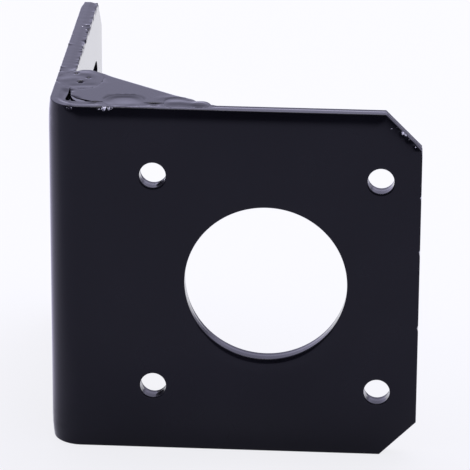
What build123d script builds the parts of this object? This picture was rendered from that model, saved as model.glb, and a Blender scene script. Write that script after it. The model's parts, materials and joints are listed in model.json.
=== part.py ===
from build123d import *
import os
from math import sqrt

# Motor mounting bracket: an angle folded from one steel plate, with a triangular
# gusset welded into the corner at each side edge.
#
# The bracket stands on its lower side edges, so its fold is upright. X runs right
# across the motor plate, Y runs back along the base plate and Z is up. The origin
# is the centre of the pilot bore on the outer face of the motor plate. Millimetres.

# Sheet and fold
sheet = 2.5                    # plate thickness
bend_inner = 2.0               # radius inside the fold
bend_outer = bend_inner + sheet
edge_roll = 0.2                # soft edge that the punch leaves on the outer side

# Angle
base_face = -30.0              # outer face of the base plate, from the bore's axis
motor_edge = 21.0              # free edge of the motor plate, from the bore's axis
base_reach = 52.0              # free edge of the base plate, from the motor plate
side_height = 50.0             # from one side edge to the other
corner_cut = 5.0               # 45 degree cuts on the four free corners

# Motor face
pilot_radius = 11.15           # clears the motor's 22 mm centring boss
bolt_pitch = 31.0              # square bolt pattern of a 42 mm stepper motor
bolt_hole_radius = 1.8

# Base slots, two pairs that run along the base plate
slot_width = 4.2
slot_length = 9.0
slot_spacing_along = 24.0      # between slot centres, along the base plate
slot_spacing_across = 30.0     # between slot centres, side edge to side edge
slot_end_margin = 7.0          # from the far ends of the slots to the free edge

# Gussets
gusset_sheet = 2.5
gusset_along_motor = 20.0      # run along the motor plate, to the sharp tip
gusset_along_base = 15.0       # run along the base plate, to the sharp tip
motor_tip_cut = 2.5            # taken off the sharp tip on the motor plate
base_tip_cut = 1.6             # taken off the sharp tip on the base plate
relief_x = 3.3                 # cut that clears the inside of the fold
relief_y = 2.5
relief_lean = 0.6              # how far the relief stands off the base plate
relief_top = 5.5               # where the gusset meets the base plate, above the fold
relief_round = 0.8
weld_bevel = 0.6               # bevel on the welded edges, which the beads fill

# Weld beads on a side edge: centre x, centre y, half length along X, half width along Y
base_pool = (-26.35, 11.7, 3.4, 3.7)
middle_pool = (-19.4, 2.6, 2.45, 1.9)
tip_pool = (-11.9, 2.7, 2.2, 2.0)
toe_pool = (-9.5, 2.6, 1.5, 1.35)
bead_crown = 0.45              # height of a bead above the side edge
bead_root = 0.9                # how far a bead reaches down into its bevel

base_inner = base_face + sheet
half_height = side_height / 2
slot_centre_y = base_reach - slot_end_margin - (slot_length + slot_spacing_along) / 2

os.makedirs("parts", exist_ok=True)


def write_piece(piece, name):
    """Name a finished piece and write it to its own file."""
    piece.label = name
    export_step(piece, f"parts/{name}.step")


# One sheet, folded square, with its bore, bolt holes, slots and cut corners
with BuildPart() as bracket_plate:
    with BuildSketch(Plane.XY.offset(-half_height)) as angle_profile:
        with BuildLine():
            Polyline(
                (base_face, 0),
                (motor_edge, 0),
                (motor_edge, sheet),
                (base_inner, sheet),
                (base_inner, base_reach),
                (base_face, base_reach),
                close=True,
            )
        make_face()
        inside_corner = angle_profile.vertices().sort_by_distance((base_inner, sheet))[0]
        fillet(inside_corner, bend_inner)
        outside_corner = angle_profile.vertices().sort_by_distance((base_face, 0))[0]
        fillet(outside_corner, bend_outer)
    extrude(amount=side_height)

    motor_corners = bracket_plate.edges().filter_by(Axis.Y).group_by(Axis.X)[-1]
    base_corners = bracket_plate.edges().filter_by(Axis.X).group_by(Axis.Y)[-1]
    chamfer(motor_corners + base_corners, corner_cut)

    outer_front = bracket_plate.faces().filter_by(Axis.Y).sort_by(Axis.Y)[0]
    outer_base = bracket_plate.faces().filter_by(Axis.X).sort_by(Axis.X)[0]
    outer_bend = bracket_plate.faces().filter_by(GeomType.CYLINDER).sort_by(SortBy.AREA)[-1]
    fold_lines = outer_bend.edges().filter_by(Axis.Z)
    outer_edges = outer_front.edges() + outer_base.edges() + outer_bend.edges()
    fillet(outer_edges.filter_by(lambda edge: edge not in fold_lines), edge_roll)

    with Locations(Plane.XZ):
        Hole(pilot_radius, depth=sheet)
        with GridLocations(bolt_pitch, bolt_pitch, 2, 2):
            Hole(bolt_hole_radius, depth=sheet)

    with BuildSketch(Plane.YZ.offset(base_face)):
        with Locations((slot_centre_y, 0)):
            with GridLocations(slot_spacing_along, slot_spacing_across, 2, 2):
                SlotOverall(slot_length, slot_width)
    extrude(amount=sheet, mode=Mode.SUBTRACT)

write_piece(bracket_plate.part, "bracket_plate")


# The upper gusset, flush with the upper side edges: cut back at both tips and at the
# fold, and bevelled along the two edges that are welded
with BuildPart() as upper_gusset:
    with BuildSketch(Plane.XY.offset(half_height - gusset_sheet)) as gusset_profile:
        sharp_motor_tip = base_inner + gusset_along_motor
        sharp_base_tip = sheet + gusset_along_base
        slope = gusset_along_base / gusset_along_motor
        with BuildLine():
            Polyline(
                (base_inner, sheet + relief_top),
                (base_inner + relief_lean, sheet + relief_y),
                (base_inner + relief_x, sheet),
                (sharp_motor_tip - motor_tip_cut, sheet),
                (sharp_motor_tip - motor_tip_cut, sheet + motor_tip_cut * slope),
                (base_inner + base_tip_cut / slope, sharp_base_tip - base_tip_cut),
                (base_inner, sharp_base_tip - base_tip_cut),
                close=True,
            )
        make_face()
        relief_corner = (base_inner + relief_lean, sheet + relief_y)
        fillet(gusset_profile.vertices().sort_by_distance(relief_corner)[0], relief_round)
    extrude(amount=gusset_sheet)

    top_edges = upper_gusset.faces().sort_by(Axis.Z)[-1].edges()
    base_side_edge = top_edges.filter_by(Axis.Y).sort_by(Axis.X)[0]
    motor_side_edge = top_edges.filter_by(Axis.X).sort_by(Axis.Y)[0]
    chamfer([base_side_edge, motor_side_edge], weld_bevel)

write_piece(upper_gusset.part, "upper_gusset")


# The lower gusset is the same blank, turned over at the lower side edges
with BuildPart() as lower_gusset:
    add(upper_gusset.part)
    mirror(about=Plane.XY, mode=Mode.REPLACE)

write_piece(lower_gusset.part, "lower_gusset")


# Each bead is a low oval mound centred on a side edge. The plate and the gusset are
# taken from it, so it seats in the bevel and on both of them face to face.
bead_depth = (bead_crown + bead_root) / 2
bead_sink = (bead_root - bead_crown) / 2
bead_spread = bead_depth / sqrt(bead_crown * bead_root)


def mounds(pools):
    """The oval mounds of one bead, on the upper side edge."""
    return [
        Pos(centre_x, centre_y, half_height - bead_sink)
        * scale(Sphere(1), (half_length * bead_spread, half_width * bead_spread, bead_depth))
        for centre_x, centre_y, half_length, half_width in pools
    ]


beads = {
    "base_bead": [base_pool],
    "middle_bead": [middle_pool],
    "tip_bead": [tip_pool, toe_pool],
}

for bead_name, pools in beads.items():
    bead_mounds = mounds(pools)
    with BuildPart() as upper_bead:
        add(bead_mounds)
        add(bracket_plate.part, mode=Mode.SUBTRACT)
        add(upper_gusset.part, mode=Mode.SUBTRACT)
    write_piece(upper_bead.part, f"upper_{bead_name}")

    # The lower beads are dressed flush, so the bracket stands flat on its side edges
    with BuildPart() as lower_bead:
        add(upper_bead.part)
        mirror(about=Plane.XY, mode=Mode.REPLACE)
        split(bisect_by=Plane.XY.offset(-half_height), keep=Keep.TOP)
    write_piece(lower_bead.part, f"lower_{bead_name}")
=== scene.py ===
import json
from math import ceil, hypot, pi, radians, sin

import bmesh
import bpy
import numpy as np
from mathutils import Matrix, Vector
from mathutils.geometry import delaunay_2d_cdt


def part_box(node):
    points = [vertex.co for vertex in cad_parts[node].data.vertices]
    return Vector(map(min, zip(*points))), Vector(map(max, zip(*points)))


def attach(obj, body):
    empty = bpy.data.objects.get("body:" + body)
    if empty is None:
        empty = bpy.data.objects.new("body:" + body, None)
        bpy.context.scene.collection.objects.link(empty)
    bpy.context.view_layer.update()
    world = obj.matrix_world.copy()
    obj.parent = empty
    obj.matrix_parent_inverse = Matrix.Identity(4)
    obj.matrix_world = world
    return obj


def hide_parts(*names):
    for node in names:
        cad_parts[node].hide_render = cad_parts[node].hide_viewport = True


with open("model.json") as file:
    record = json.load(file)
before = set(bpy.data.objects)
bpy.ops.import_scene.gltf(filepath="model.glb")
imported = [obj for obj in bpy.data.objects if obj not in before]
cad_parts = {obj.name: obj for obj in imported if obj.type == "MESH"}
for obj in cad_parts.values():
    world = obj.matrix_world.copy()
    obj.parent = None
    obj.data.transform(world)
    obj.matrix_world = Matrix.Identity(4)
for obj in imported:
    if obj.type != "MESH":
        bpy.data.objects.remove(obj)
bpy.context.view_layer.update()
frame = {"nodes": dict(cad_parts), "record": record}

# The bracket: a folded angle of black painted steel with welded corner gussets.
# Shapes are worked out in millimetres and become metres when a mesh is made.
MM = 0.001


# ---------------------------------------------------------------- sizes, from the frame

def box_mm(node):
    """Lowest and highest corner of a CAD node, in millimetres."""
    low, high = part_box(node)
    return np.array(low) / MM, np.array(high) / MM


mounts = {mount["name"]: mount for mount in frame["record"]["mounts"]}
plate_low, plate_high = box_mm("bracket_plate")
gusset_low, gusset_high = box_mm("upper_gusset")

sheet = mounts["motor_pilot_bore"]["dims"]["length_mm"]
bend_inner = 2.0
bend_outer = bend_inner + sheet
corner_cut = 5.0
motor_edge = plate_high[0]
base_face = plate_low[0]
base_inner = base_face + sheet
base_reach = plate_high[1]
half_height = plate_high[2]

pilot_radius = mounts["motor_pilot_bore"]["dims"]["r_mm"]
bolt_half_pitch = mounts["motor_bolts"]["dims"]["spacing_x_mm"] / 2
bolt_radius = mounts["motor_bolts"]["dims"]["hole_r_mm"]
slots = mounts["base_slots"]["dims"]
slot_centre_y = mounts["base_slots"]["pos_m"][1] / MM


# ---------------------------------------------------------------- outlines in the flat

def along(start, end, step):
    """Points from start towards end, without the end, about a step apart."""
    count = max(1, ceil(hypot(end[0] - start[0], end[1] - start[1]) / step))
    share = np.arange(count)[:, None] / count
    return np.array(start) + share * (np.array(end) - np.array(start))


class Blank:
    """A closed outline of straight runs, anticlockwise, with the metal inside it.

    rolls holds one (depth, width) for each run: how far the punch drew the skin down.
    tear is how far the cut edge leans back into the metal where its burr lip begins.
    """

    def __init__(self, corners, rolls, tear=0.14):
        self.corners = np.array(corners, float)
        self.tear = tear
        self.rolls = rolls if isinstance(rolls, list) else [rolls] * len(corners)

    def inset(self, distance):
        ahead = np.roll(self.corners, -1, axis=0) - self.corners
        ahead /= np.linalg.norm(ahead, axis=1)[:, None]
        inward = np.stack([-ahead[:, 1], ahead[:, 0]], axis=1)
        before = np.roll(inward, 1, axis=0)
        mitre = (inward + before) / (1 + (inward * before).sum(axis=1))[:, None]
        return self.corners + distance * mitre

    def ring(self, distance, step):
        corners = self.inset(distance)
        runs = zip(corners, np.roll(corners, -1, axis=0))
        return np.concatenate([along(start, end, step) for start, end in runs])

    def gaps(self, points):
        """Distance of each point from each run."""
        found = []
        for a, b in zip(self.corners, np.roll(self.corners, -1, axis=0)):
            run = b - a
            share = np.clip((points - a) @ run / (run @ run), 0, 1)
            found.append(np.linalg.norm(points - a - share[:, None] * run, axis=1))
        return found

    def clearance(self, points):
        return np.min(self.gaps(points), axis=0)

    def drawn(self, points):
        rolled = [roll_off(gap, *roll) for gap, roll in zip(self.gaps(points), self.rolls)]
        return np.max(rolled, axis=0)

    def cuts(self, points):
        return np.zeros(len(points), bool)

    def inward(self, points):
        """Unit steps into the metal, mitred at the corners."""
        gaps = np.array(self.gaps(points))
        nearest = (gaps < gaps.min(axis=0) + 1e-4).astype(float)
        ahead = np.roll(self.corners, -1, axis=0) - self.corners
        ahead /= np.linalg.norm(ahead, axis=1)[:, None]
        steps = nearest.T @ np.stack([-ahead[:, 1], ahead[:, 0]], axis=1)
        return steps * (nearest.sum(axis=0) / np.maximum((steps ** 2).sum(axis=1), 0.5))[:, None]


class Hole:
    """A punched hole, round, or slotted along its first axis."""

    def __init__(self, centre, radius, roll, straight=0.0, tear=0.06):
        self.centre = np.array(centre, float)
        self.tear = tear
        self.radius = radius
        self.half = straight / 2
        self.roll = roll

    def ring(self, distance, step):
        radius = self.radius + distance
        arc = max(12, ceil(pi * radius / step))
        angles = np.arange(arc + 1) * pi / arc
        cap = np.stack([np.sin(angles), -np.cos(angles)], axis=1) * radius
        if self.half:
            across = np.array([self.half, 0.0])
            side = along((self.half, radius), (-self.half, radius), step)[1:]
            points = np.concatenate([cap + across, side, -cap - across, -side])
        else:
            points = np.concatenate([cap[:-1], -cap[:-1]])
        return points + self.centre

    def outside(self, points):
        away = points - self.centre
        beyond = np.maximum(np.abs(away[:, 0]) - self.half, 0)
        return np.hypot(beyond, away[:, 1]) - self.radius

    def clearance(self, points):
        return np.abs(self.outside(points))

    def drawn(self, points):
        return roll_off(self.clearance(points), *self.roll)

    def cuts(self, points):
        return self.outside(points) < 0

    def inward(self, points):
        away = points - self.centre
        away[:, 0] -= np.clip(away[:, 0], -self.half, self.half)
        return away / np.maximum(np.linalg.norm(away, axis=1), 1e-9)[:, None]


def roll_off(gap, depth, width):
    """How far the skin is drawn down at a distance from a punched edge."""
    return depth * np.clip(1 - gap / width, 0, 1) ** 2


# ---------------------------------------------------------------- punched sheet as a mesh

EDGE_BREAK = 0.06          # small radius where the outer skin meets the cut edge
BURR_BREAK = 0.015         # the same at the inner skin, where the edge is sharp
CLEAN_SHARE = 0.46         # part of the thickness that the punch cut clean
LIP_SHARE = 0.77           # where the torn part ends and the burr lip begins
LIP_LEAN = 0.75            # share of the tear that is left at the end of the lip
TEAR_REACH = 1.5           # how far from a rim the inner skin follows the tear
FINE_STEP = 0.2            # spacing of points along a rim
STEP_GROWTH = 0.3          # how much that spacing grows for each millimetre from the rim
THINNEST_TRIANGLE = 1e-4   # height below which a triangle is a sliver outside the outline
SHARP_ANGLE = radians(60)  # edges that turn more than this stay crisp

# Distances from a rim, and shares of a cut edge's thickness, that get points.
RINGS = (0, 0.025, 0.07, 0.15, 0.28, 0.45, 0.7, 1.0, 1.4, 1.9, 2.5, 3.1)
WALL_ROWS = (0.03, 0.12, 0.3, 0.44, 0.48, 0.6, 0.74, 0.80, 0.9, 0.98)


def torn(share):
    """Share of the tear reached at a share of the thickness: none, leaning back, then a lip."""
    return np.interp(share, (CLEAN_SHARE, LIP_SHARE, 1.0), (0.0, 1.0, LIP_LEAN))


def punched_sheet(blank, holes, place, thickness, extra=()):
    """Vertices, faces and rim runs of a sheet with rolled outer edges.

    place turns flat coordinates and a depth below the outer skin into a point. A rim
    run is the distance travelled round a cut edge, and is zero on the two skins.
    """
    rims = [blank] + holes
    points = []
    links = []
    loops = []
    for rim in rims:
        others = [other for other in rims if other is not rim]
        for distance in RINGS:
            ring = rim.ring(distance, FINE_STEP + STEP_GROWTH * distance)
            if distance:
                clear = rim.clearance(ring) > 0.98 * distance
                for other in others:
                    clear &= (other.clearance(ring) > distance) & ~other.cuts(ring)
                ring = ring[clear]
            else:
                loop = list(range(len(points), len(points) + len(ring)))
                loops.append(loop)
                links += list(zip(loop, loop[1:] + loop[:1]))
            points += list(ring)
    if len(extra):
        extra = np.array(extra)
        clear = np.min([rim.clearance(extra) for rim in rims], axis=0) > RINGS[-1] + 0.05
        inside = np.any([rim.cuts(extra) for rim in rims], axis=0)
        points += list(extra[clear & ~inside])

    made = delaunay_2d_cdt([Vector(point) for point in points], links, [], 0, 1e-6)
    flat = np.array([tuple(point) for point in made[0]])
    triangles = np.array(made[2])
    index_of = {source: index for index, sources in enumerate(made[3]) for source in sources}
    corner, second, third = (flat[triangles[:, k]] for k in range(3))
    middles = (corner + second + third) / 3
    side, other_side = second - corner, third - corner
    area = side[:, 0] * other_side[:, 1] - side[:, 1] * other_side[:, 0]
    longest = np.max([np.linalg.norm(edge, axis=1)
                      for edge in (side, other_side, third - second)], axis=0)
    solid = ~np.any([rim.cuts(middles) for rim in rims], axis=0)
    solid &= np.abs(area) > THINNEST_TRIANGLE * longest
    triangles[area < 0] = triangles[area < 0][:, ::-1]
    triangles = triangles[solid]

    drawn = np.max([rim.drawn(flat) for rim in rims], axis=0)
    rim_gap = np.min([rim.clearance(flat) for rim in rims], axis=0)
    top = drawn + roll_off(rim_gap, EDGE_BREAK, EDGE_BREAK)
    bottom = thickness - roll_off(rim_gap, BURR_BREAK, BURR_BREAK)
    lean = np.zeros_like(flat)
    for rim in rims:
        gap = rim.clearance(flat)
        follows = np.clip(1 - gap / TEAR_REACH, 0, 1) ** 2
        lean += rim.tear * rim.inward(flat) * follows[:, None]
    under = flat + torn(1.0) * lean
    vertices = [place(flat[:, 0], flat[:, 1], top), place(under[:, 0], under[:, 1], bottom)]
    count = len(flat)
    total = 2 * count
    runs = [np.zeros(total)]
    faces = [tuple(t) for t in triangles] + [tuple(t) for t in triangles[:, ::-1] + count]
    for loop in loops:
        rim = np.array([index_of[source] for source in loop])
        steps = np.linalg.norm(np.roll(flat[rim], -1, axis=0) - flat[rim], axis=1)
        travelled = 1 + np.concatenate([[0], np.cumsum(steps)[:-1]])
        rows = [rim]
        for share in WALL_ROWS:
            depth = top[rim] + share * (bottom[rim] - top[rim])
            wall = flat[rim] + torn(share) * lean[rim]
            vertices.append(place(wall[:, 0], wall[:, 1], depth))
            runs.append(travelled)
            rows.append(np.arange(total, total + len(rim)))
            total += len(rim)
        rows.append(rim + count)
        for upper, lower in zip(rows, rows[1:]):
            faces += list(zip(upper, lower, np.roll(lower, -1), np.roll(upper, -1)))
    return np.concatenate(vertices), faces, np.concatenate(runs)


def make_piece(name, points, faces, rim_runs=None):
    """A smooth mesh object from points in millimetres, with its cut edges marked, and its paint
    chips and painted glints.
    """
    mesh = bpy.data.meshes.new(name)
    mesh.from_pydata(np.asarray(points) * MM, [], [[int(i) for i in face] for face in faces])
    for label, values in (("rim_run", rim_runs), ("chipped", chipping_and_glints(points))):
        if values is not None:
            marks = mesh.attributes.new(label, "FLOAT", "POINT")
            marks.data.foreach_set("value", np.asarray(values, np.float32))
    mesh.validate()
    surface = bmesh.new()
    surface.from_mesh(mesh)
    bmesh.ops.recalc_face_normals(surface, faces=surface.faces)
    surface.to_mesh(mesh)
    surface.free()
    mesh.shade_smooth()
    mesh.set_sharp_from_angle(angle=SHARP_ANGLE)
    piece = bpy.data.objects.new(name, mesh)
    bpy.context.scene.collection.objects.link(piece)
    return piece


def dress(piece, node, material):
    """The piece stands for a CAD node, rides with it and takes the black paint."""
    piece.data.materials.append(material)
    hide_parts(node)
    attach(piece, "root")


# ---------------------------------------------------------------- dents, chips and ripples

def press(points, marks):
    """Moves the points near each mark: (centre, reach, push), all in millimetres."""
    for centre, reach, push in marks:
        away = np.linalg.norm(points - np.array(centre), axis=1) / reach
        fall = np.clip(1 - away ** 2, 0, 1) ** 2
        points += fall[:, None] * np.array(push)
    return points


# Paint knocked off to the metal, drawn near white, partly real chips and partly painted glints:
# where, how far and how badly. The last three, on the right end, are painted glints.
CHIPS_AND_GLINTS = [
    ((-22.0, 0.1, 24.95), 0.75, 0.95), ((-21.4, 0.2, 25.0), 0.55, 0.90),
    ((-22.6, 0.1, 24.85), 0.50, 0.90), ((-23.0, 0.1, 24.85), 0.30, 0.8),
    ((-20.9, 0.1, 24.9), 0.40, 0.75), ((-24.2, 0.1, 24.85), 0.28, 0.7),
    ((-27.2, 0.35, 24.8), 0.45, 0.95), ((-26.6, 0.2, 24.8), 0.45, 0.95),
    ((-25.9, 0.1, 24.85), 0.30, 0.8), ((18.35, 0.1, 22.5), 0.55, 1.0),
    ((18.75, 0.1, 22.2), 0.45, 0.9), ((19.1, 0.1, 21.6), 0.40, 0.8),
    ((16.7, 0.1, 23.2), 0.50, 0.55), ((17.4, 0.1, 23.3), 0.35, 0.7),
    ((20.0, 0.1, 20.5), 0.40, 0.8), ((20.6, 0.1, 20.4), 0.35, 0.7),
    ((-27.8, 34.3, 25.0), 0.45, 0.95), ((-28.1, 36.3, 25.0), 0.40, 0.8),
    ((-27.6, 26.9, 25.0), 0.40, 0.8), ((-28.6, 35.4, 25.0), 0.35, 0.75),
    ((-29.6, 31.6, 25.0), 0.35, 0.75), ((-27.4, 13.9, 25.0), 0.50, 0.5),
    ((-26.9, 14.3, 25.0), 0.40, 0.5), ((-29.7, 15.2, 25.0), 0.3, 0.45),
    ((21.0, 0.3, 13.3), 0.4, 0.9), ((21.0, 0.3, 5.3), 0.4, 0.8),
    ((21.0, 0.4, -5.8), 0.4, 0.8),
]


def chipping_and_glints(points):
    """How badly the paint is knocked off at each point, and how strong the painted glints are
    there.
    """
    worst = np.zeros(len(points))
    for centre, reach, amount in CHIPS_AND_GLINTS:
        away = np.linalg.norm(points - np.array(centre), axis=1) / reach
        worst = np.maximum(worst, amount * np.clip(1.3 - 1.3 * away, 0, 1))
    return worst


def ripple(lengths, pitch, seed):
    """Smooth random heights from -1 to 1 along an edge, with knots a pitch apart."""
    knots = np.random.default_rng(seed).uniform(-1, 1, 400)
    place = lengths / pitch
    left = np.floor(place).astype(int)
    blend = place - left
    blend = blend * blend * (3 - 2 * blend)
    return knots[left % 400] * (1 - blend) + knots[(left + 1) % 400] * blend


# Low ridges and shallow valleys that the welding left in the top faces: the x and y of
# each point of a line, then its half width and its height.
RIPPLES = [
    ([(-27.0, 9.0), (-26.0, 9.25), (-24.6, 9.4)], 0.7, -0.045),
    ([(-28.6, 11.4), (-27.4, 12.0), (-26.1, 11.9)], 0.9, 0.045),
    ([(-26.9, 14.4), (-25.6, 14.6)], 0.8, 0.050),
    ([(-29.2, 12.6), (-29.2, 10.6)], 0.5, -0.020),
    ([(-14.6, 4.6), (-13.6, 5.1), (-12.6, 5.4), (-11.6, 5.0), (-10.9, 4.2)], 0.5, 0.050),
    ([(-13.0, 2.85), (-11.9, 3.0), (-10.8, 2.75)], 0.85, 0.095),
    ([(-20.5, 0.55), (-19.0, 0.50), (-15.5, 0.60)], 0.40, 0.045),
    ([(-27.5, 0.75), (-24.0, 0.60), (-15.0, 0.60), (-7.0, 0.60)], 0.35, 0.028),
]

# The weld pools: centre, half size, how far they lie below the plates, over how much of
# the radius they sink, and their swells as (x, y, reach, height).
BASE_POOL = ((-26.35, 11.70), (3.15, 3.72), -0.01, 0.5, [
    (-26.29, 10.60, 0.28, -0.48), (-26.29, 11.1, 0.40, 0.06), (-25.37, 12.36, 0.32, -0.12),
    (-27.25, 14.2, 0.32, -0.30), (-25.5, 14.2, 1.3, 0.09)])
MIDDLE_POOL = ((-19.6, 3.05), (2.8, 2.65), 0.11, 0.42, [(-19.2, 0.9, 2.3, 0.19)])
TIP_POOL = ((-11.9, 2.70), (2.3, 2.25), 0.0, 0.5, [])
TOE_POOL = ((-9.30, 2.50), (1.55, 1.35), -0.02, 0.6, [(-9.4, 2.7, 1.0, 0.11)])
POOLS = [BASE_POOL, MIDDLE_POOL, TIP_POOL, TOE_POOL]
ROOT_RUN_REACH = ((-25.4, 2.6), (1.5, 1.0))
TORN_BELOW = 0.45          # how far below the top faces the torn edges can lie
CLEAR_OF_SKIN = 1.0        # how far the filling stays from the outer skins
SKIN_FADE = 0.6            # depth over which the ridges and valleys fade out


def pool_edge(centre, angle):
    """How far out a pool reaches in a direction, as a share of its half size."""
    return 1 + 0.03 * np.sin(3 * angle + centre[0]) + 0.02 * np.sin(5 * angle + centre[1])


def under_pools(points):
    """Where a weld pool lies over the plates: torn edges filled up, skins sunk out of sight."""
    fill = np.zeros(len(points))
    sink = np.zeros(len(points))
    for centre, half_size, *_ in POOLS:
        away = (points[:, :2] - np.array(centre)) / np.array(half_size)
        angle = np.arctan2(away[:, 1], away[:, 0])
        radius = np.linalg.norm(away, axis=1) / pool_edge(centre, angle)
        fill = np.maximum(fill, np.clip((1.45 - radius) / 0.3, 0, 1))
        sink = np.maximum(sink, np.clip((0.95 - radius) / 0.12, 0, 1))
    centre, half_size = ROOT_RUN_REACH
    away = (points[:, :2] - np.array(centre)) / np.array(half_size)
    fill = np.maximum(fill, np.clip((1.3 - np.linalg.norm(away, axis=1)) / 0.3, 0, 1))
    below = half_height - points[:, 2]
    inside = (points[:, 1] > CLEAR_OF_SKIN) & (points[:, 0] > base_face + CLEAR_OF_SKIN)
    torn_away = (below > 0) & (below < TORN_BELOW) & inside
    points[:, 2] += 0.97 * fill * np.where(torn_away, below, 0)
    points[:, 2] -= 0.3 * sink * (below < TORN_BELOW)
    return points


def welded_skin(points):
    """The upper faces as the welding left them; fades out just below the top."""
    height = np.zeros(len(points))
    for line, width, rise in RIPPLES:
        gap = np.full(len(points), 99.0)
        for a, b in zip(np.array(line), np.array(line[1:])):
            run = b - a
            share = np.clip((points[:, :2] - a) @ run / (run @ run), 0, 1)
            away = points[:, :2] - a - share[:, None] * run
            gap = np.minimum(gap, np.linalg.norm(away, axis=1))
        height += rise * np.exp(-(gap / width) ** 2)
    on_top = np.clip((points[:, 2] - half_height + SKIN_FADE) / SKIN_FADE, 0, 1)
    behind_front = np.clip((points[:, 1] - 0.22) / 0.12, 0, 1)
    points[:, 2] += height * (on_top * behind_front)
    return points


# ---------------------------------------------------------------- the folded sheet

motor_flat = motor_edge - (base_face + bend_outer)
bend_run = pi / 2 * (bend_inner + sheet / 2)
base_start = motor_flat + bend_run
blank_length = base_start + base_reach - bend_outer
INNER_PINCH = 0.6          # how much tighter the inner corner is than the nominal fold
PINCH_FADE = 5.0           # how far along each plate the pinch fades out


def fold(run, height, depth):
    """Folds the flat blank: run starts at the motor plate's free edge.

    The inner skin is pinched into the corner, so its radius is less than bend_inner.
    """
    turn = np.clip((run - motor_flat) / bend_run, 0, 1) * pi / 2
    pinch = np.clip(depth / sheet, 0, 1) * INNER_PINCH
    radius = bend_outer - depth - pinch
    x = motor_edge - np.minimum(run, motor_flat) - radius * np.sin(turn)
    y = bend_outer - radius * np.cos(turn) + np.maximum(run - base_start, 0)
    x -= pinch * np.clip(1 - (motor_flat - run) / PINCH_FADE, 0, 1)
    y -= pinch * np.clip(1 - (run - base_start) / PINCH_FADE, 0, 1)
    return np.stack([x, y, height + 0 * run], axis=1)


def run_at_y(y):
    """Where a place on the base plate lies along the flat blank."""
    return base_start + y - bend_outer


# How deep and how wide the punch drew the outer skin down at each kind of edge.
SHEET_ROLL = (0.24, 3.1)
BORE_ROLL = (0.255, 1.8)
BOLT_HOLE_ROLL = (0.06, 0.5)
SLOT_ROLL = (0.06, 0.8)


# Small knocks: where, how far they reach and which way they push, in millimetres.
SHEET_KNOCKS = [
    ((-27.45, 3.9, 25.0), 2.2, (-0.15, -0.12, 0.0)),
    ((-30.0, 47.2, 25.0), 3.0, (0.25, 0.0, 0.0)),
    ((21.0, 0.6, 20.2), 1.2, (-0.10, 0.0, -0.06)),
    ((-29.8, 16.8, 25.0), 0.6, (0.0, 0.0, 0.14)),
    ((-29.8, 15.2, 25.0), 0.5, (0.10, 0.0, -0.14)),
    ((-29.8, 11.0, 25.0), 0.5, (0.10, 0.0, -0.12)),
    ((-29.8, 27.1, 25.0), 0.6, (0.0, 0.0, 0.12)),
    ((-27.5, 34.4, 25.0), 0.5, (-0.10, 0.0, -0.25)),
    ((-27.5, 32.9, 25.0), 0.5, (-0.25, 0.0, -0.15)),
    ((-27.9, 36.2, 25.0), 0.6, (0.0, 0.0, 0.15)),
    ((-27.5, 29.0, 25.0), 0.7, (-0.20, 0.0, -0.10)),
    ((-27.5, 27.0, 25.0), 0.6, (0.10, 0.0, 0.10)),
    ((-27.5, 14.3, 25.0), 0.7, (-0.15, 0.0, -0.30)),
    ((-22.6, 0.0, 25.0), 0.6, (0.0, 0.15, -0.15)),
    ((-21.5, 0.0, 25.0), 0.7, (0.0, 0.12, -0.12)),
    ((-24.2, 0.0, 25.0), 0.4, (0.0, 0.10, -0.12)),
    ((-26.9, 0.3, 25.0), 0.6, (0.05, 0.10, -0.12)),
    ((18.4, 0.0, 22.6), 0.7, (-0.05, 0.06, -0.05)),
    ((19.2, 0.0, 21.8), 0.7, (-0.07, 0.08, -0.07)),
    ((20.3, 0.0, 20.7), 0.6, (-0.10, 0.10, -0.10)),
    ((21.0, 0.3, 13.1), 0.5, (-0.06, 0.0, 0.0)), ((21.0, 0.3, 5.1), 0.5, (-0.10, 0.0, 0.0)),
    ((21.0, 0.4, -5.9), 0.5, (-0.12, 0.0, 0.0)),
    ((-14.3, 1.2, 13.8), 0.8, (-0.18, 0.0, 0.20)),
    ((-14.3, 1.2, -17.2), 0.8, (-0.18, 0.0, 0.20)),
]


def ragged_edge(points):
    """Tears the inner edge of the base plate's upper side edge, and notches both sides of it."""
    reach = points[:, 1]
    on_base = (reach > 9) & (points[:, 0] < base_inner + 0.4)
    on_top = (points[:, 2] > half_height - SKIN_FADE) & on_base
    inner = np.clip(1 - np.abs(points[:, 0] - base_inner) / 0.5, 0, 1) * on_top
    outer = np.clip(1 - np.abs(points[:, 0] - base_face) / 0.4, 0, 1) * on_top
    points[:, 0] += inner * (0.09 * ripple(reach, 0.45, 3) + 0.07 * ripple(reach, 1.1, 4) - 0.04)
    points[:, 2] += inner * (0.06 * ripple(reach, 0.5, 5) - 0.03)
    points[:, 0] += outer * (0.025 * ripple(reach, 0.5, 6) + 0.025)
    return points


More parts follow.
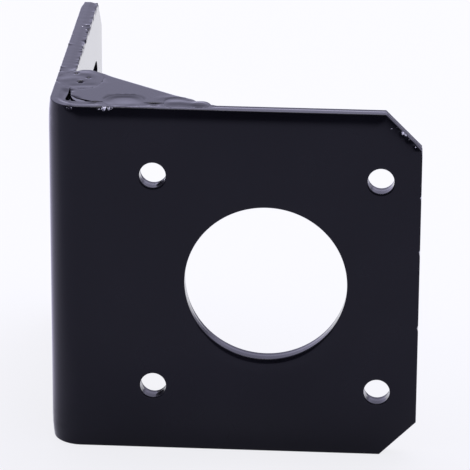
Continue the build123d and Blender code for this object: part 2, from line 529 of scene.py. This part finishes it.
def folded_plate():
    """The whole sheet: punched in the flat, folded, then knocked about."""
    inner_half = half_height - corner_cut
    blank = Blank([
        (corner_cut, -half_height), (blank_length - corner_cut, -half_height),
        (blank_length, -inner_half), (blank_length, inner_half),
        (blank_length - corner_cut, half_height), (corner_cut, half_height),
        (0, inner_half), (0, -inner_half)], SHEET_ROLL)
    holes = [Hole((motor_edge, 0), pilot_radius, BORE_ROLL)]
    for x in (-bolt_half_pitch, bolt_half_pitch):
        for z in (-bolt_half_pitch, bolt_half_pitch):
            holes.append(Hole((motor_edge - x, z), bolt_radius, BOLT_HOLE_ROLL))
    for side in (-0.5, 0.5):
        for level in (-0.5, 0.5):
            run = run_at_y(slot_centre_y + side * slots["spacing_x_mm"])
            centre = (run, level * slots["spacing_y_mm"])
            straight = slots["slot_length_mm"] - 2 * slots["hole_r_mm"]
            holes.append(Hole(centre, slots["hole_r_mm"], SLOT_ROLL, straight))
    levels = np.arange(-24, 24.5, 1.5)
    apart = 3.0
    grid = [(u, v) for u in np.linspace(motor_flat, base_start, 25) for v in levels]
    plain = [*np.arange(apart, motor_flat, apart),
             *np.arange(base_start + apart, blank_length, apart)]
    grid += [(u, v) for u in plain for v in levels[::2]]
    points, faces, runs = punched_sheet(blank, holes, fold, sheet, extra=grid)
    points = press(ragged_edge(welded_skin(under_pools(points))), SHEET_KNOCKS)
    return points, faces, runs


# ---------------------------------------------------------------- gussets

MOTOR_TIP_CUT = 2.5        # taken off the sharp tip on the motor plate
BASE_TIP_CUT = 1.6         # taken off the sharp tip on the base plate
WORN_TIP = 0.7             # how much shorter the welded tip is than the nominal one
SLOPE = 15.0 / 20.0        # run along the base plate over run along the motor plate
SIDE_GAP = 0.10            # open slit between a gusset and the base plate
FRONT_GAP = 0.18           # the same at the motor plate
GUSSET_GRID = 0.3          # spacing of points on a gusset's skins
GUSSET_KNOCKS = [
    ((-27.2, 7.0, 25.0), 0.6, (0.0, 0.0, -0.10)), ((-26.3, 4.0, 25.0), 0.8, (0.0, 0.0, -0.06)),
]


def rounded(corners, radii, step=0.12):
    """A closed outline with each corner rounded to its radius."""
    corners = [np.array(corner, float) for corner in corners]
    outline = []
    for index, (corner, radius) in enumerate(zip(corners, radii)):
        before = corners[index - 1] - corner
        after = corners[(index + 1) % len(corners)] - corner
        before /= np.linalg.norm(before)
        after /= np.linalg.norm(after)
        half = np.arccos(np.clip(before @ after, -1, 1)) / 2
        middle = corner + radius / sin(half) * (before + after) / np.linalg.norm(before + after)
        first = corner + radius / np.tan(half) * before - middle
        last = corner + radius / np.tan(half) * after - middle
        turn = pi - 2 * half
        count = max(1, ceil(turn * radius / step))
        for k in range(count + 1):
            share = k / count
            bent = (sin((1 - share) * turn) * first + sin(share * turn) * last) / sin(turn)
            outline.append(tuple(middle + bent))
    return outline


def gusset_plate(welded=True):
    """A gusset, its outer skin flush with the side edge of the sheet."""
    left, front = gusset_low[0] + SIDE_GAP, gusset_low[1] + FRONT_GAP
    right, back = gusset_high[0] - (WORN_TIP if welded else 0.0), gusset_high[1]
    outline = rounded(
        [(left - 0.05, front + 5.5), (left + 0.35, front + 2.4), (left + 1.25, front + 1.40),
         (left + 2.35, front + 0.68), (left + 3.6, front), (right, front),
         (right, front + MOTOR_TIP_CUT * SLOPE), (left + 2.0, back), (left + 0.9, back - 0.05),
         (left + 0.2, back - 0.65), (left, back - BASE_TIP_CUT)],
        [1.5, 0.4, 0.8, 0.8, 1.2, 0.3, 1.1, 0.5, 0.4, 0.4, 0.5])
    blank = Blank(outline, (0.07, 0.30), tear=0.1)

    def place(x, y, depth):
        return np.stack([x, y, gusset_high[2] - depth], axis=1)

    full_width, full_depth = right + MOTOR_TIP_CUT - left, back + BASE_TIP_CUT - front
    grid = [(x, y) for x in np.arange(left + GUSSET_GRID, right, GUSSET_GRID)
            for y in np.arange(front + GUSSET_GRID, back, GUSSET_GRID)
            if (x - left) / full_width + (y - front) / full_depth < 0.95]
    points, faces, runs = punched_sheet(blank, [], place, sheet, extra=grid)
    if welded:
        points = press(welded_skin(under_pools(points)), GUSSET_KNOCKS)
    return points, faces, runs


# ---------------------------------------------------------------- weld beads

POOL_LIFT = 0.004          # how far a pool's rim stands over the top faces
POOL_ROOT = 0.5            # how far below them a pool reaches at its rim


def weld(centre, half_size, drop, fade, swells):
    """A thin pool of weld on the top faces, sinking below them inside its rim."""
    rings, spokes = 34, 130
    share = np.arange(1, rings + 1) / rings
    angle = np.arange(spokes) * 2 * pi / spokes
    edge = pool_edge(centre, angle)
    x = centre[0] + np.outer(share, edge * np.cos(angle) * half_size[0])
    y = centre[1] + np.outer(share, edge * np.sin(angle) * half_size[1])
    x = np.concatenate([[centre[0]], x.ravel()])
    y = np.concatenate([[centre[1]], y.ravel()])
    radius = np.concatenate([[0], np.repeat(share, spokes)])
    inner = np.clip((1 - radius) / fade, 0, 1)
    inner = inner * inner * (3 - 2 * inner)
    height = -drop * inner
    for swell_x, swell_y, reach, swell in swells:
        away = ((x - swell_x) ** 2 + (y - swell_y) ** 2) / reach ** 2
        height = height + swell * np.exp(-away) * inner
    top = welded_skin(np.stack([x, y, np.full(len(x), half_height)], axis=1))
    top[:, 2] += POOL_LIFT + height
    under = np.stack([x, y, half_height - POOL_ROOT - 0.2 * (1 - radius ** 2)], axis=1)
    count = len(x)
    faces = []
    for base, turned in ((0, False), (count, True)):
        for k in range(spokes):
            after = (k + 1) % spokes
            fan = (base, base + 1 + k, base + 1 + after)
            faces.append(fan[::-1] if turned else fan)
            for ring in range(rings - 1):
                a, b = 1 + ring * spokes + k, 1 + ring * spokes + after
                quad = (base + a, base + a + spokes, base + b + spokes, base + b)
                faces.append(quad[::-1] if turned else quad)
    last = 1 + (rings - 1) * spokes
    for k in range(spokes):
        after = (k + 1) % spokes
        faces.append((last + k, count + last + k, count + last + after, last + after))
    return np.concatenate([top, under]), faces


def joined(first, second):
    """Two meshes as one."""
    (points, faces), (more_points, more_faces) = first, second
    shift = len(points)
    moved = [tuple(index + shift for index in face) for face in more_faces]
    return np.concatenate([points, more_points]), faces + moved


def root_run():
    """The start of the weld that shows in the corner, beside the gusset's cut corner."""
    corners = [
        (-27.03, 4.90), (-26.65, 3.50), (-26.05, 2.55),
        (-24.60, 2.40), (-25.10, 3.08), (-26.20, 3.82)]
    lifts = [-0.02, 0.02, 0.025, 0.0, -0.05, -0.06]
    top = np.array([(x, y, half_height - 0.02 + lift) for (x, y), lift in zip(corners, lifts)])
    under = top - (0, 0, 1.2)
    count = len(corners)
    faces = [tuple(range(count)), tuple(range(2 * count - 1, count - 1, -1))]
    faces += [(k, count + k, count + (k + 1) % count, (k + 1) % count) for k in range(count)]
    return joined((np.concatenate([top, under]), faces), slit_filling())


def slit_filling():
    """Paint that closes the slit beside the gusset, well below the top face."""
    low, high = (-27.8, 2.4, 22.6), (-26.6, 9.5, 24.1)
    points = [(x, y, z) for z in (low[2], high[2]) for x, y in (
        (low[0], low[1]), (high[0], low[1]), (high[0] - 0.5, high[1]), (low[0], high[1]))]
    faces = [(3, 2, 1, 0), (4, 5, 6, 7)]
    faces += [(k, (k + 1) % 4, 4 + (k + 1) % 4, 4 + k) for k in range(4)]
    return np.array(points), faces


def turned_over(points, faces):
    """The same shape, mirrored to the lower side edges."""
    return points * (1, 1, -1), [tuple(face)[::-1] for face in faces]


# ---------------------------------------------------------------- finishes

class Value:
    """A socket in a node tree, with arithmetic that adds Math nodes."""

    def __init__(self, tree, socket):
        self.tree = tree
        self.socket = socket

    def math(self, operation, *others):
        return node(self.tree, "ShaderNodeMath", {"operation": operation}, [self, *others])

    def __add__(self, other):
        return self.math("ADD", other)

    def __sub__(self, other):
        return self.math("SUBTRACT", other)

    def __rsub__(self, other):
        return node(self.tree, "ShaderNodeMath", {"operation": "SUBTRACT"}, [other, self])

    def __mul__(self, other):
        return self.math("MULTIPLY", other)

    __radd__ = __add__
    __rmul__ = __mul__

    def ramp(self, none, full):
        """Smoothly from 0 where the value is none to 1 where it is full."""
        settings = {"interpolation_type": "SMOOTHSTEP"}
        return node(self.tree, "ShaderNodeMapRange", settings, [self, none, full, 0.0, 1.0])


def node(tree, kind, settings=None, inputs=(), output=0):
    """Adds a node: its settings first, then its sockets by order or by name."""
    made = tree.nodes.new(kind)
    for name, value in (settings or {}).items():
        setattr(made, name, value)
    for key, value in (inputs.items() if isinstance(inputs, dict) else enumerate(inputs)):
        socket = made.inputs[key]
        if isinstance(value, Value):
            tree.links.new(value.socket, socket)
        else:
            socket.default_value = value
    return Value(tree, made.outputs[output]) if made.outputs else made


def noise(tree, where, scale, detail, roughness=0.5):
    """Noise from 0 to 1 over object space, scale in features a metre."""
    inputs = {"Vector": where, "Scale": scale, "Detail": detail, "Roughness": roughness}
    return node(tree, "ShaderNodeTexNoise", {}, inputs)


def mix_colour(tree, share, first, second):
    """The first colour where share is 0, the second where it is 1."""
    settings = {"data_type": "RGBA"}
    return node(tree, "ShaderNodeMix", settings, {0: share, 6: first, 7: second}, output=2)


def new_material(name):
    material = bpy.data.materials.new(name)
    material.use_nodes = True
    material.node_tree.nodes.clear()
    return material, material.node_tree


def satin_black_paint():
    """Thin black paint over punched steel: faint orange peel, sheared cut edges, paint chips
    drawn near white that partly stand in as painted glints.
    """
    material, tree = new_material("satin_black_paint")
    where = node(tree, "ShaderNodeTexCoord", output=3)
    rim_run = node(tree, "ShaderNodeAttribute", {"attribute_name": "rim_run"}, output=2)
    chipped = node(tree, "ShaderNodeAttribute", {"attribute_name": "chipped"}, output=2)
    on_rim = rim_run.ramp(0.2, 0.8)

    # Heights in millimetres.
    peel = noise(tree, where, 700, 2)
    cloud = noise(tree, where, 60, 3)
    streaks = node(tree, "ShaderNodeTexNoise", {"noise_dimensions": "1D"},
                   {"W": rim_run, "Scale": 1.1, "Detail": 3.0})
    speckle = noise(tree, where, 5200, 2, 0.6)
    bare_and_glint = (chipped + 1.6 * (speckle - 0.5)).ramp(0.62, 0.70)
    height = peel * 0.0012 + cloud * 0.004 + streaks * on_rim * 0.03 - bare_and_glint * 0.03
    bump = node(tree, "ShaderNodeBump", {}, {"Strength": 1.0, "Distance": MM, "Height": height})

    black = (0.0055, 0.0055, 0.0075, 1)
    worn = (0.0080, 0.0078, 0.0105, 1)
    # Near white where the paint is off: partly steel showing through, partly a painted glint.
    steel = (0.95, 0.95, 0.97, 1)
    colour = mix_colour(tree, cloud.ramp(0.35, 0.75), black, worn)
    colour = mix_colour(tree, bare_and_glint, colour, steel)
    gloss = 0.18 + 0.06 * (cloud - 0.5) + 0.05 * on_rim + 0.3 * bare_and_glint
    shader = node(tree, "ShaderNodeBsdfPrincipled", {}, {
        "Base Color": colour, "Roughness": gloss, "Normal": bump, "IOR": 1.5,
        "Specular IOR Level": 0.08, "Specular Tint": (0.75, 0.75, 1.0, 1),
        "Coat Weight": 1.0, "Coat Roughness": 0.04, "Coat IOR": 1.3})
    node(tree, "ShaderNodeOutputMaterial", {}, [shader])
    return material


# ---------------------------------------------------------------- studio

def pale_floor():
    """A plain pale floor, near white to the eye, whose colour is painted darker towards the
    viewer as painted shade.

    Reflections also see painted shade at the back right and a painted cool glow on the left.
    """
    material, tree = new_material("pale_floor")
    camera_ray = node(tree, "ShaderNodeLightPath", output=0)
    mirror_ray = node(tree, "ShaderNodeLightPath", output=3)
    where = node(tree, "ShaderNodeTexCoord", output=3)
    aside = node(tree, "ShaderNodeSeparateXYZ", {}, [where], output=0)
    back = node(tree, "ShaderNodeSeparateXYZ", {}, [where], output=1)
    # Painted shade and a painted cool glow that only reflections see: the floor darker at the
    # back right, cool on the left.
    right_back = aside.ramp(0.0, 0.05) * back.ramp(0.06, 0.10) * mirror_ray
    left = aside.ramp(-0.032, -0.045) * back.ramp(-0.04, 0.04) * mirror_ray
    # Painted shade: the floor colour darkens in front of and under the bracket and goes nearly
    # black far in front, where the eye still sees white.
    near = back.ramp(0.07, -0.03)
    far_front = back.ramp(-0.18, -0.36)
    shade = noise(tree, where, 3, 2)
    pale = mix_colour(tree, shade, (0.86, 0.87, 0.92, 1), (0.88, 0.89, 0.94, 1))
    painted_shade = mix_colour(tree, near, pale, (0.56, 0.56, 0.62, 1))
    colour = mix_colour(tree, far_front, painted_shade, (0.03, 0.03, 0.03, 1))
    colour = mix_colour(tree, right_back, colour, (0.35, 0.35, 0.38, 1))
    matt = node(tree, "ShaderNodeBsdfPrincipled", {}, {
        "Base Color": colour, "Roughness": 1.0, "Specular IOR Level": 0.0})
    glow = node(tree, "ShaderNodeEmission", {}, {"Color": (0.98, 0.98, 1.0, 1), "Strength": 1.0})
    seen = camera_ray * (0.82 + 0.18 * far_front)
    # Reflections see the floor glow white, except where the painted shade lies.
    mirrored = mirror_ray * (1 - near) * (1 - right_back) * 0.8
    both = node(tree, "ShaderNodeMixShader", {}, [seen + mirrored, matt, glow])
    cool = node(tree, "ShaderNodeEmission", {}, {"Color": (0.78, 0.75, 1.0, 1), "Strength": 1.0})
    tinted = node(tree, "ShaderNodeMixShader", {}, [left, both, cool])
    node(tree, "ShaderNodeOutputMaterial", {}, [tinted])

    half = 2.5
    level = plate_low[2] * MM
    mesh = bpy.data.meshes.new("floor")
    corners = [(-half, -half), (half, -half), (half, half), (-half, half)]
    mesh.from_pydata([(x, y, level) for x, y in corners], [], [(0, 1, 2, 3)])
    mesh.materials.append(material)
    floor = bpy.data.objects.new("floor", mesh)
    bpy.context.scene.collection.objects.link(floor)


def pale_room():
    """White to the eye. The bracket sees it cool and pale, dark where the viewer stands and
    dimmer low at the back right.
    """
    world = bpy.data.worlds.new("pale_room")
    bpy.context.scene.world = world
    world.use_nodes = True
    tree = world.node_tree
    tree.nodes.clear()
    direction = node(tree, "ShaderNodeTexCoord", output=0)
    aside = node(tree, "ShaderNodeSeparateXYZ", {}, [direction], output=0)
    towards = node(tree, "ShaderNodeSeparateXYZ", {}, [direction], output=1)
    up = node(tree, "ShaderNodeSeparateXYZ", {}, [direction], output=2)
    viewer = towards.ramp(-0.50, -0.88) * up.ramp(0.95, 0.75)
    camera_ray = node(tree, "ShaderNodeLightPath", output=0)
    right_back = aside.ramp(0.18, 0.32) * towards.ramp(0.3, 0.6) * up.ramp(0.20, 0.0)
    room = mix_colour(tree, viewer, (0.74, 0.72, 1.0, 1), (0.02, 0.02, 0.02, 1))
    room = mix_colour(tree, right_back, room, (0.27, 0.26, 0.36, 1))
    seen = mix_colour(tree, camera_ray, room, (1, 1, 1, 1))
    light = node(tree, "ShaderNodeBackground", {}, {"Color": seen, "Strength": 1.0})
    node(tree, "ShaderNodeOutputWorld", {}, [light])


def softbox(name, place, aim, size, power):
    """A rectangular lamp at a place, turned to what it lights."""
    lamp = bpy.data.lights.new(name, "AREA")
    lamp.shape = "RECTANGLE"
    lamp.size, lamp.size_y = size
    lamp.energy = power
    lamp.color = (1.0, 0.99, 0.93)
    holder = bpy.data.objects.new(name, lamp)
    holder.location = place
    holder.rotation_euler = (Vector(aim) - Vector(place)).to_track_quat("-Z", "Y").to_euler()
    bpy.context.scene.collection.objects.link(holder)


def viewpoint():
    """A long lens from the front, a little to the right and above, rolled slightly."""
    data = bpy.data.cameras.new("viewpoint")
    data.sensor_width = 36
    data.lens = 277.69
    camera = bpy.data.objects.new("viewpoint", data)
    stand = Matrix.Translation((0.02455, -0.45952, 0.18558))
    heading = Matrix.Rotation(radians(3.583), 4, "Z")
    tilt = Matrix.Rotation(radians(68.822), 4, "X")
    roll = Matrix.Rotation(radians(0.334), 4, "Z")
    camera.matrix_world = stand @ heading @ tilt @ roll
    bpy.context.scene.collection.objects.link(camera)
    bpy.context.scene.camera = camera


# ---------------------------------------------------------------- making

viewpoint()
paint = satin_black_paint()

dress(make_piece("folded_sheet", *folded_plate()), "bracket_plate", paint)
dress(make_piece("upper_gusset_plate", *gusset_plate()), "upper_gusset", paint)
points, faces, runs = gusset_plate(welded=False)
points, faces = turned_over(points, faces)
dress(make_piece("lower_gusset_plate", points, faces, runs), "lower_gusset", paint)

pools = {"base_bead": weld(*BASE_POOL), "middle_bead": joined(weld(*MIDDLE_POOL), root_run()),
         "tip_bead": joined(weld(*TIP_POOL), weld(*TOE_POOL))}
for name, pool in pools.items():
    dress(make_piece("upper_" + name + "_weld", *pool), "upper_" + name, paint)
for cad_node in frame["nodes"].values():
    cad_node.data.materials.clear()
    cad_node.data.materials.append(paint)

pale_floor()
pale_room()
softbox("overhead_softbox", (0.10, 0.40, 1.20), (0, 0, 0), (0.9, 0.9), 7.5)

bpy.context.scene.view_settings.view_transform = "Standard"
